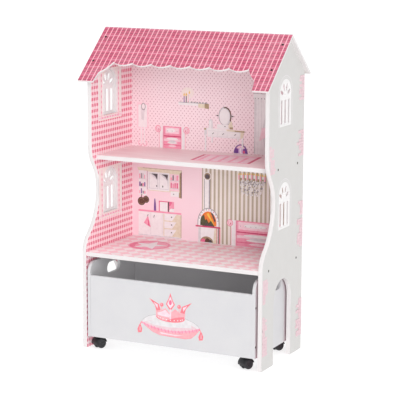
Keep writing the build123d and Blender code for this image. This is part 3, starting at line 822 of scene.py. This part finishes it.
@dataclass
class UpperRoomArt:
    """Bedroom scenery on the dotted wall and the rug on the rose floor."""

    floor: float = UPPER_FLOOR

    def build(self) -> None:
        """Draw every piece of scenery."""
        face = wall_face("upper_back_panel", self.floor)
        self.standing_mirror(self.piece("standing_mirror", face))
        self.armchair(self.piece("armchair", face))
        self.candle_shelf(self.piece("candle_shelf", face))
        self.vanity(self.piece("vanity", face))
        self.handbag(self.piece("handbag", face))
        self.curtains(self.piece("curtains", face))
        self.rug()

    def piece(self, what: str, face: Face) -> Artwork:
        """Start one piece of the wall's scenery."""
        return Artwork(f"{what}_print", face, "upper_wall_print")

    def standing_mirror(self, art: Artwork) -> None:
        """Tall mirror on curled feet."""
        art.block(Ink.BLUSH, -249, 54, -212, 128)
        art.block(Ink.WHITE, -246, 56, -217, 122)
        art.fill(Ink.PALE, [(-236, 80), (-228, 76), (-222, 124), (-236, 124)])
        art.oval(Ink.GREY, (-229, 117), (7.5, 10.5))
        art.oval(Ink.WHITE, (-229, 117), (5.2, 8.0))
        for leg in (-236, -226):
            art.block(Ink.WHITE, leg - 1.5, 10, leg + 1.5, 56)
        for way in (-1, 1):
            art.stroke(Ink.PINK, 1.5, arc((-231 + way * 8, 9), (6, 7), 90, 90 - way * 250, 14))
        art.lay()

    def armchair(self, art: Artwork) -> None:
        """Pink armchair."""
        PaddedSeat(-176, 84, 64).draw(art)
        art.lay()

    def candle_shelf(self, art: Artwork) -> None:
        """White shelf with three candles and a tray."""
        art.oval(Ink.GLOW, (-84, 165), (20, 16))
        art.block(Ink.WHITE, -114, 129, -44, 136)
        art.fill(Ink.CREAM, [(-50, 124), (-18, 123), (-18, 135), (-50, 136)])
        art.fill(Ink.TAN, [(-30, 123), (-16, 122), (-16, 136), (-30, 136)])
        art.block(Ink.GREY, -114, 136, -18, 137.4)
        for left in range(-74, -20, 9):
            art.block(Ink.GREY, left, 137.4, left + 5, 140)
        candles = ((-97, 2.6, 18, Ink.PURPLE), (-90, 2.6, 19, Ink.DARK), (-81, 4, 25, Ink.WHITE))
        for left, width, height, ink in candles:
            middle = left + width / 2
            art.block(ink, left, 137, left + width, 137 + height)
            flame = [(middle - 2.4, 140 + height), (middle, 136 + height), (middle + 2.4, 140 + height)]
            art.fill(Ink.YELLOW, [*flame, (middle + 0.5, 147 + height)])
        art.stroke(Ink.ROSE, 0.8, [(-81, 137), (-81, 160)])
        art.lay()

    def vanity(self, art: Artwork) -> None:
        """Dressing table with an oval mirror, drawers and a jar."""
        art.oval(Ink.PALE, (35, 104), (20.5, 27.5))
        art.stroke(Ink.BROWN, 4.0, arc((35, 104), (18.5, 25.5), 100, -30, 20))
        art.stroke(Ink.GREY, 1.2, arc((35, 104), (19.5, 26.5), 100, 330, 24))
        art.oval(Ink.WHITE, (33, 103), (15.5, 22.5))
        for knob in (11, 59):
            art.oval(Ink.DARK, (knob, 105), (3.0, 2.2))
        art.fill(Ink.CREAM, [(46, 79), (57, 79), (57, 92), (50, 88)])
        art.block(Ink.WHITE, 10, 68, 58, 80)
        art.block(Ink.CREAM, 46, 70, 60, 81)
        art.block(Ink.TAN, 50, 68, 60, 74)
        art.oval(Ink.DARK, (35, 75), (1.8, 1.5))
        art.fill(Ink.PALE, [(-17, 66), (-3, 66), (-4, 88), (-10, 95), (-16, 88)])
        art.fill(Ink.WHITE, [(-15, 66), (-8, 66), (-8, 90), (-14, 88)])
        for left, bottom in ((-29, 2), (-8, 26), (74, 36), (88, 14)):
            art.block(Ink.WHITE, left, bottom, left + 5, 62)
            art.block(Ink.PALE, left + 3.6, bottom, left + 5, 62)
        art.block(Ink.WHITE, -20, 42, 84, 62)
        art.fill(Ink.PALE, [(-30, 46), (-22, 50), (-22, 64), (-30, 64)])
        art.fill(Ink.CREAM, [(84, 42), (92, 46), (95, 62), (84, 62)])
        art.block(Ink.WHITE, -24, 62, 56, 67)
        art.fill(Ink.TAN, [(-31, 62), (-24, 62), (-24, 67), (-31, 67)])
        art.fill(Ink.CREAM, [(40, 62), (97, 61), (97, 66), (40, 67)])
        art.fill(Ink.TAN, [(66, 61.5), (97, 61), (97, 65), (66, 65)])
        for left in (-18, 14, 52):
            art.stroke(Ink.PALE, 1.0, [(left, 45), (left + 30, 45), (left + 30, 60), (left, 60)])
            art.stroke(Ink.DARK, 1.8, [(left + 13, 51), (left + 18, 55)])
        art.lay()

    def handbag(self, art: Artwork) -> None:
        """Domed purple bag with a lilac front."""
        art.fill(Ink.PURPLE, arc((85, 1), (22, 26), 0, 180, 20))
        art.fill(Ink.BLUSH, arc((85, 3), (17, 21), 20, 160, 16))
        art.fill(Ink.PURPLE, [(63, 1), (78, 1), (78, 14), (70, 16), (65, 10)])
        art.fill(Ink.PURPLE, [(91, 1), (107, 1), (105, 10), (98, 16), (91, 13)])
        art.fill(Ink.LILAC, [(78, 1), (91, 1), (92, 15), (85, 20), (78, 15)])
        art.fill(Ink.ROSE, [(92, 2), (99, 2), (97, 10), (92, 9)])
        art.block(Ink.WHITE, 82, 1, 86, 16)
        art.lay()

    def curtains(self, art: Artwork) -> None:
        """Window hung with two tied-back drapes under a dotted pelmet."""
        art.block(Ink.PALE, 126, 2, 258, 172)
        art.block(Ink.WHITE, 166, 24, 220, 150)
        art.block(Ink.PALE, 191, 24, 195, 150)
        art.block(Ink.PALE, 166, 92, 220, 96)
        for outer, inner in ((126, 168), (258, 216)):
            way = 1 if inner > outer else -1
            drape = [(outer, 2), (outer + way * 38, 2), (outer + way * 24, 62), (inner, 162), (outer, 162)]
            art.fill(Ink.WHITE, drape)
            for fold, ink in ((2, Ink.GREY), (6, Ink.PALE), (12, Ink.PALE), (22, Ink.PALE)):
                crease = outer + way * fold
                art.stroke(ink, 1.2, [(crease, 4), (outer + way * (fold + 1), 64), (crease, 160)])
            tie = ((16, 40), (36, 52), (36, 80), (24, 78))
            art.fill(Ink.BLUSH, [(outer + way * across, height) for across, height in tie])
        art.block(Ink.WHITE, 124, 158, 260, 175)
        for i in range(14):
            art.oval(Ink.GREY, (129 + i * 9.6, 161), (1.6, 1.6))
        art.stroke(Ink.GREY, 1.0, [(124, 175), (260, 175)])
        art.lay()

    def rug(self) -> None:
        """Rectangular rug with deep pink ends and pale slanting stripes."""
        art = Artwork("upper_rug_print", floor_face("upper_floor"), "upper_floor_print")
        art.fill(Ink.PINK, [(9, -38), (184, -26), (166, 98), (-4, 70)])
        art.fill(Ink.BLUSH, [(17, -30), (172, -20), (157, 88), (6, 64)])
        for i in range(5):
            left = 24 + i * 30
            art.fill(Ink.PINK, [(left, -26), (left + 9, -26), (left - 4, 68), (left - 13, 66)])
        art.stroke(Ink.DEEP, 8.0, [(11, -36), (1, 68)])
        art.stroke(Ink.DEEP, 8.0, [(178, -24), (162, 94)])
        art.lay()


@dataclass
class LowerRoomArt:
    """Kitchen, stove, sofa and chandelier on the lower wall, and the round rug."""

    floor: float = LOWER_FLOOR

    def build(self) -> None:
        """Draw every piece of scenery."""
        face = wall_face("lower_back_panel", self.floor)
        self.wall_cupboards(self.piece("wall_cupboards", face))
        self.worktop(self.piece("worktop", face))
        self.base_cupboards(self.piece("base_cupboards", face))
        self.stove(self.piece("stove", face))
        self.sofa(self.piece("sofa", face))
        self.chandelier(self.piece("chandelier", face))
        self.rug()

    def piece(self, what: str, face: Face) -> Artwork:
        """Start one piece of the wall's scenery."""
        return Artwork(f"{what}_print", face, "lower_wall_print")

    def wall_cupboards(self, art: Artwork) -> None:
        """Two-door cupboard between two open shelves of jars."""
        art.fill(Ink.TAN, [(-112, 124), (-103, 122), (-103, 204), (-112, 204)])
        art.fill(Ink.CREAM, [(-246, 196), (-108, 196), (-102, 205), (-250, 205)])
        art.stroke(Ink.TAN, 1.4, [(-232, 204), (-102, 204)])
        art.block(Ink.WHITE, -245, 122, -219, 196)
        art.block(Ink.CREAM, -214, 138, -110, 198)
        art.block(Ink.WHITE, -214, 140, -143, 194)
        art.block(Ink.BLUSH, -141, 142, -111, 192)
        art.block(Ink.WHITE, -139, 126, -112, 141)
        art.oval(Ink.DARK, (-129, 133), (1.6, 1.6))
        art.block(Ink.GREY, -217, 140, -215.6, 196)
        art.block(Ink.BROWN, -106, 124, -103, 198)
        for left in (-211, -177):
            art.block(Ink.PALE, left, 144, left + 31, 191)
            art.fill(Ink.WHITE, [(left + 2, 146), (left + 29, 146), (left + 27, 170), (left + 2, 189)])
            art.fill(Ink.DARK, [(left + 8, 189), (left + 29, 189), (left + 27, 172), (left + 21, 182)])
        for knob in (-185, -165):
            art.oval(Ink.DARK, (knob, 153), (1.8, 3.0))
        for shelf in (147, 170):
            art.block(Ink.PALE, -245, shelf, -219, shelf + 1.6)
            art.block(Ink.PALE, -141, shelf + 2, -111, shelf + 3.6)
        jars = random.Random(5)
        for left, right, base, inks in (
            (-243, -221, 172, (Ink.PINK, Ink.GREY, Ink.PALE)),
            (-243, -221, 149, (Ink.PURPLE, Ink.DARK, Ink.ROSE)),
            (-243, -221, 127, (Ink.PINK, Ink.PURPLE, Ink.GREY)),
            (-139, -113, 174, (Ink.PINK, Ink.DARK, Ink.BLUSH)),
            (-139, -113, 151, (Ink.ROSE, Ink.PINK, Ink.ROSE)),
        ):
            step = (right - left) / 4
            for i in range(4):
                width = step * jars.uniform(0.5, 0.8)
                height = jars.uniform(7, 16)
                where = left + step * i
                art.block(inks[i % 3], where, base, where + width, base + height)
        art.lay()

    def worktop(self, art: Artwork) -> None:
        """Two hanging pans, a bottle and a toaster over the pink worktop."""
        for centre, radius in (((-221, 110), 10.5), ((-236, 104), 12.5)):
            art.oval(Ink.BROWN, centre, (radius, radius))
            art.stroke(Ink.TAN, 0.8, arc(centre, (radius * 0.7, radius * 0.7), 20, 330, 20))
            across, rim = centre[0], centre[1] + radius
            art.stroke(Ink.BROWN, 2.4, [(across, rim - 1), (across + 1, rim + 9)])
        art.fill(Ink.PURPLE, [(-195, 77), (-187, 77), (-188, 100), (-190, 115), (-193, 115), (-194, 100)])
        art.block(Ink.ROSE, -178, 76, -128, 110)
        art.block(Ink.WHITE, -175, 79, -149, 107)
        art.block(Ink.DARK, -148, 78, -144, 109)
        art.block(Ink.WHITE, -144, 79, -128, 90)
        art.fill(Ink.PINK, [(-144, 84), (-138, 90), (-128, 92), (-128, 110), (-144, 109)])
        art.fill(Ink.ROSE, [(-144, 96), (-138, 99), (-134, 109), (-144, 109)])
        art.block(Ink.PINK, -246, 74, -104, 79)
        art.lay()

    def base_cupboards(self, art: Artwork) -> None:
        """Two doors, a hung towel and a stack of drawers."""
        art.block(Ink.WHITE, -246, 4, -104, 74)
        art.block(Ink.CREAM, -163, 6, -104, 72)
        art.block(Ink.CREAM, -112, 4, -104, 73)
        art.stroke(Ink.TAN, 1.6, [(-104.6, 5), (-104.6, 73)])
        for split in (-205, -167):
            art.block(Ink.PALE, split - 0.7, 6, split + 0.7, 72)
        for low in (7, 30, 53):
            art.block(Ink.WHITE, -160, low, -113, low + 20)
            art.fill(Ink.CREAM, [(-134, low), (-113, low), (-113, low + 20), (-120, low + 20)])
            art.oval(Ink.DARK, (-136, low + 11), (2.2, 1.8))
        for knob in (-216, -195):
            art.stroke(Ink.DARK, 1.8, [(knob, 58), (knob + 2, 66)])
        art.fill(Ink.PINK, [(-216, 60), (-213, 58), (-205, 28), (-216, 33), (-228, 40)])
        art.fill(Ink.ROSE, [(-215, 52), (-212, 50), (-208, 30), (-214, 33)])
        art.block(Ink.PALE, -246, 2, -104, 5)
        art.lay()

    def stove(self, art: Artwork) -> None:
        """Round-topped brick oven with its pipe and a log store."""
        art.block(Ink.GREY, -30, 98, -11, 190)
        art.block(Ink.WHITE, -28, 98, -15, 190)
        art.oval(Ink.WHITE, (-20, 195), (12, 12))
        art.oval(Ink.TAN, (-20, 195), (10, 10))
        art.oval(Ink.DARK, (-20, 194), (7.5, 7))
        dome = (-16, 58)
        art.fill(Ink.GREY, [(19, 44), *arc(dome, (35, 44), 0, 180, 24), (-51, 44)])
        art.fill(Ink.WHITE, [(17, 44), *arc(dome, (33, 42), 0, 180, 24), (-49, 44)])
        for i in range(11):
            bead = arc(dome, (31, 39), 12 + i * 15, 13 + i * 15, 2)[0]
            art.oval(Ink.DEEP if i % 2 else Ink.GREY, bead, (1.6, 1.6))
        art.fill(Ink.ORANGE, [(10, 50), *arc(dome, (26, 34), -8, 188, 24), (-42, 50)])
        art.fill(Ink.OLIVE, [(-42, 50), (-22, 50), (-30, 82), (-38, 76), *arc(dome, (26, 34), 140, 180, 6)])
        art.fill(Ink.DARK, [(8, 66), (-1, 86), (-10, 92), (-3, 78), (4, 62)])
        art.fill(Ink.YELLOW, [(-22, 84), (-14, 74), (-2, 54), (2, 54), (-8, 74), (-16, 88)])
        art.fill(Ink.OLIVE, [(-36, 49), (4, 49), (-2, 58), (-8, 66), (-15, 58), (-22, 70), (-29, 60)])
        art.fill(Ink.DARK, [(-30, 49), (0, 49), (-8, 56), (-16, 52), (-22, 58)])
        art.block(Ink.WHITE, -46, 0, 16, 46)
        art.block(Ink.PALE, -48, 0, -40, 44)
        art.fill(Ink.CREAM, [(0, 0), (12, 0), (12, 44), (4, 44)])
        for left, ink in ((11, Ink.DEEP), (16, Ink.BROWN), (20, Ink.ROSE)):
            art.block(ink, left, 0, left + 2.2, 47)
        art.block(Ink.DEEP, -57, 44.5, 22, 49)
        art.fill(Ink.TAN, arc((-21, 1), (21, 17), 0, 180, 20))
        art.fill(Ink.ROSE, arc((-32, 1), (9, 10), 0, 180, 12))
        art.fill(Ink.BROWN, arc((-18, 1), (9, 12), 0, 180, 12))
        art.fill(Ink.DARK, arc((-9, 1), (6, 8), 0, 180, 12))
        art.lay()

    def sofa(self, art: Artwork) -> None:
        """Pink sofa."""
        PaddedSeat(57, 172, 74, arm=16).draw(art)
        art.lay()

    def chandelier(self, art: Artwork) -> None:
        """Branched light with candles and strings of cut glass."""
        centre, top = 121, 196
        art.stroke(Ink.TAN, 1.6, [(centre, top), (centre, top + 32)])
        drops = random.Random(3)
        for i in range(-6, 7):
            across = centre + i * 6.8
            lift = 4 - abs(i) * 0.5
            sweep = 90 if i > 0 else -90
            wick = top + 10 + lift
            art.stroke(Ink.GREY, 1.2, arc((centre, top), (abs(i) * 6.8 + 0.5, 15), 270, 270 + sweep, 8))
            art.block(Ink.WHITE if i % 2 else Ink.PINK, across - 1.6, top - 4 + lift, across + 1.6, wick)
            art.fill(Ink.YELLOW, [(across - 2.2, wick), (across + 2.2, wick), (across, wick + 7)])
            if i % 2:
                art.block(Ink.TAN, across - 2.6, top - 5, across + 2.6, top + 3)
        for ring in range(9):
            level, reach = top - 5 - ring * 4.8, 44 - ring * 1.8
            beads = max(3, int(reach / 3.6))
            for j in range(beads):
                across = centre - reach + 2 * reach * (j + drops.uniform(0.1, 0.9)) / beads
                where = (across, level + drops.uniform(-2.2, 2.2))
                art.oval(drops.choice((Ink.WHITE, Ink.GREY, Ink.WHITE, Ink.PALE)), where, (1.9, 2.2))
        art.lay()

    def rug(self) -> None:
        """Round rug with a five-pointed star."""
        art = Artwork("lower_rug_print", floor_face("lower_floor"), "lower_floor_print")
        centre = (-150.0, 17.0)
        art.oval(Ink.PINK, centre, (62, 60))
        art.oval(Ink.ROSE, centre, (58, 56))
        art.oval(Ink.PINK, (centre[0] + 6, centre[1] + 2), (48, 50))
        tips = [(centre, 52.0 if i % 2 == 0 else 23.0, 90 + i * 36) for i in range(10)]
        art.fill(Ink.WHITE, [arc(c, (r, r), a, a + 1, 2)[0] for c, r, a in tips])
        art.lay()


# ---------------------------------------------------------------- the toy box
@dataclass
class ToyBox:
    """White box on castors with a crown on a cushion printed on its front."""

    edge: float = 0.8
    piping: int = 17             # stitches along the cushion's ruffled seam

    def build(self) -> None:
        """Dress the boards and print the front."""
        white = WHITE_LACQUER.build()
        boards = ["box_front", "box_back", "box_left_side", "box_right_side", "box_base"]
        dress(boards, white, self.edge)
        dress(["box_screws", "castor_screws"], SCREW_STEEL.build())
        dress(["box_base_dowels"], BEECH.build())
        low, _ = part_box("box_front")
        face = Face(Vector((0.0, low.y, 0.0)), Vector((1, 0, 0)), Vector((0, 0, 1)))
        art = Artwork("crown_print", face, "box_white", "toy_box", layer=0.008)
        self.cushion(art)
        self.crown(art)
        art.lay()

    def seam(self, share: float) -> Point:
        """Point on the cushion's front seam, from its left corner to its right."""
        return (-88 + 182 * share, 98 - 17 * math.sin(math.pi * share) ** 0.8)

    def cushion(self, art: Artwork) -> None:
        """Plump cushion with a ruffled seam and two tassels."""
        top = [
            (-88, 98), (-80, 108), (-66, 117), (-44, 123), (0, 127),
            (50, 122), (74, 114), (88, 106), (94, 98),
        ]
        seam = [self.seam(i / 16) for i in range(17)]
        art.fill(Ink.GREY, [(p[0], p[1] + 0.9) for p in top] + seam[::-1])
        art.fill(Ink.PALE, [*top, *seam[::-1]])
        art.fill(Ink.BRICK, [(-84, 98), (-40, 110), (0, 112), (60, 108), (90, 97), *seam[15:0:-2]])
        art.fill(Ink.PALE, [(-70, 100), (-30, 114), (20, 115), (64, 110), (70, 98), (0, 92), (-50, 94)])
        under = [(94, 97), (84, 84), (68, 70), (50, 66), (0, 67), (-30, 68), (-52, 75), (-70, 86), (-84, 97)]
        art.fill(Ink.CORAL, [(p[0], p[1] - 1.2) for p in under] + seam)
        art.fill(Ink.SALMON, [*under, *seam])
        art.fill(Ink.BLUSH, [(-30, 76), (10, 73), (46, 74), (20, 70), (-24, 71)])
        art.stroke(Ink.PINK, 4.5, seam)
        for i in range(1, self.piping):
            across, height = self.seam(i / self.piping)
            art.stroke(Ink.ROSE, 1.3, [(across - 1, height + 4), (across + 1.5, height - 5)])
        for side in (-92, 98):
            art.stroke(Ink.CORAL, 2.4, [(side * 0.95, 98), (side, 89)])
            tassel = ((-2, 90), (2, 90), (7, 78), (5, 68), (-6, 66), (-8, 76))
            art.fill(Ink.CORAL, [(side + across, height) for across, height in tassel])
            art.fill(Ink.SALMON, [(side - 1, 84), (side + 2, 84), (side + 3, 72), (side - 2, 72)])

    def crown(self, art: Artwork) -> None:
        """Open crown with two horns, a jewelled middle and two knobs."""
        centre = 3.5
        body = [
            (-41, 121), (-41, 143), (-27, 136), (-12, 146), (2, 132),
            (18, 146), (34, 136), (49, 143), (48, 121),
        ]
        band = arc((centre, 121), (44.5, 13), 180, 360, 16)
        art.fill(Ink.CORAL, [(p[0], p[1] - 1) for p in band] + body[::-1])
        art.fill(Ink.SALMON, [*arc((centre, 121), (42.5, 11.5), 180, 360, 16), *body[::-1]])
        art.fill(Ink.BLUSH, [(-37, 131), (-30, 132), (-12, 141), (1, 128), (0, 120), (-36, 124)])
        art.fill(Ink.CORAL, [*arc((centre, 119), (43, 10), 250, 358, 12), (46, 127), (20, 122)])
        for way in (-1, 1):
            root = centre + way * 44
            horn = ((0, 136), (-14, 138), (-8, 155), (22, 169), (4, 150))
            art.fill(Ink.CORAL, [(root + way * out, height) for out, height in horn])
            gleam = ((-4, 142), (-5, 153), (8, 159), (0, 148))
            art.fill(Ink.BLUSH, [(root + way * out, height) for out, height in gleam])
            knob = (centre + way * 27, 154)
            art.stroke(Ink.SALMON, 2.0, [(knob[0], 136), knob])
            art.oval(Ink.CORAL, knob, (5.6, 5.6))
            art.oval(Ink.SALMON, (knob[0] - 1.4, knob[1] + 1.4), (2.4, 2.4))
        middle = [(centre, 190), (centre + 6, 172), (centre + 14, 158), (centre + 3, 142), (centre - 3, 142)]
        art.fill(Ink.CORAL, [*middle, (centre - 14, 158), (centre - 6, 172)])
        art.fill(Ink.BLUSH, [(centre, 180), (centre + 10, 158), (centre, 146), (centre - 10, 158)])
        art.oval(Ink.ROSE, (centre, 163), (4.4, 7.0))
        art.block(Ink.BLUSH, centre - 2.4, 116, centre + 2.4, 144)
        for i in range(9):
            share = math.radians(200 + i * 17.5)
            art.oval(Ink.WHITE, (centre + 40 * math.cos(share), 121 + 8 * math.sin(share)), (1.5, 1.5))


@dataclass
class Castors:
    """Four hooded twin-wheel castors."""

    edge: float = 0.25           # eased edge of a hood or plate

    def build(self) -> None:
        """Dress every part of every castor."""
        for part, finish, rounding in (
            ("hood", NYLON, self.edge), ("wheels", WHEEL_PLASTIC, 0.0), ("plate", PLATE_STEEL, self.edge),
            ("kingpin", PIN_STEEL, 0.0), ("axle", PIN_STEEL, 0.0),
        ):
            dress([f"{site}_castor_{part}" for site in CASTOR_SITES], finish.build(), rounding)


# ---------------------------------------------------------------- studio
@dataclass
class Studio:
    """Pale floor, soft even light and the camera."""

    yaw: float = 26.34           # camera's turn to the right of straight ahead
    rise: float = 10.47          # its height above the horizon, degrees
    roll: float = 0.24
    distance: float = 4.4373
    target: tuple[float, float, float] = (0.0239, -0.0085, 0.4295)
    lens: float = 142.74
    floor_size: float = 120.0
    floor_glow: float = 0.74
    sky: float = 0.48
    key: float = 1.2
    fill: float = 1.45

    def build(self) -> None:
        """Set everything up."""
        self.build_floor()
        self.build_lights()
        self.build_camera()
        log.info("studio ready")

    def build_floor(self) -> None:
        """Wide matt floor, lit from behind."""
        grid = bmesh.new()
        bmesh.ops.create_grid(grid, x_segments=4, y_segments=4, size=self.floor_size / 2)
        data = bpy.data.meshes.new("studio_floor")
        grid.to_mesh(data)
        grid.free()
        # Opal acrylic lit from behind: an even matt white that swallows most of the shadows on it.
        tones = ("A0A0A0", "9B9B9B", 400.0, 3.0, 0.01, (0.85, 0.95))
        paper = Finish("backlit_white_acrylic_sweep", *tones, glow=self.floor_glow).build()
        data.materials.append(paper)
        floor = bpy.data.objects.new("studio_floor", data)
        bpy.context.scene.collection.objects.link(floor)

    def build_lights(self) -> None:
        """White surroundings, a broad key from overhead and a soft fill from the front."""
        world = bpy.data.worlds.new("white_studio")
        bpy.context.scene.world = world
        world.use_nodes = True
        background = world.node_tree.nodes["Background"]
        background.inputs["Color"].default_value = (1.0, 1.0, 1.0, 1.0)
        background.inputs["Strength"].default_value = self.sky
        for name, strength, spread, toward in (
            ("key", self.key, 55.0, (-0.05, 0.15, -0.99)),
            ("fill", self.fill, 35.0, (-0.6, 0.74, -0.25)),
        ):
            lamp = bpy.data.lights.new(name, "SUN")
            lamp.energy = strength
            lamp.angle = math.radians(spread)
            light = bpy.data.objects.new(name, lamp)
            light.rotation_mode = "QUATERNION"
            light.rotation_quaternion = Vector(toward).to_track_quat("-Z", "Y")
            bpy.context.scene.collection.objects.link(light)
        bpy.context.scene.view_settings.view_transform = "Standard"

    def build_camera(self) -> None:
        """Long lens, a little above the roof, turned some 26 degrees to the right."""
        yaw, rise, roll = (math.radians(a) for a in (self.yaw, self.rise, self.roll))
        back = Vector((math.sin(yaw) * math.cos(rise), -math.cos(yaw) * math.cos(rise), math.sin(rise)))
        level = Vector((math.cos(yaw), math.sin(yaw), 0.0))
        upright = back.cross(level)
        right = level * math.cos(roll) + upright * math.sin(roll)
        up = upright * math.cos(roll) - level * math.sin(roll)
        lens = bpy.data.cameras.new("camera")
        lens.lens = self.lens
        lens.sensor_width = 36.0
        lens.clip_end = 200.0
        camera = bpy.data.objects.new("camera", lens)
        place = Matrix((right, up, back)).transposed().to_4x4()
        place.translation = Vector(self.target) + back * self.distance
        camera.matrix_world = place
        bpy.context.scene.collection.objects.link(camera)
        bpy.context.scene.camera = camera


def main() -> None:
    """Build the studio and every sub-assembly in order."""
    logging.basicConfig(level=logging.INFO, format="%(name)s: %(message)s")
    Studio().build()
    House().build()
    Roof().build()
    UpperRoomArt().build()
    LowerRoomArt().build()
    ToyBox().build()
    Castors().build()


if __name__ == "__main__":
    main()
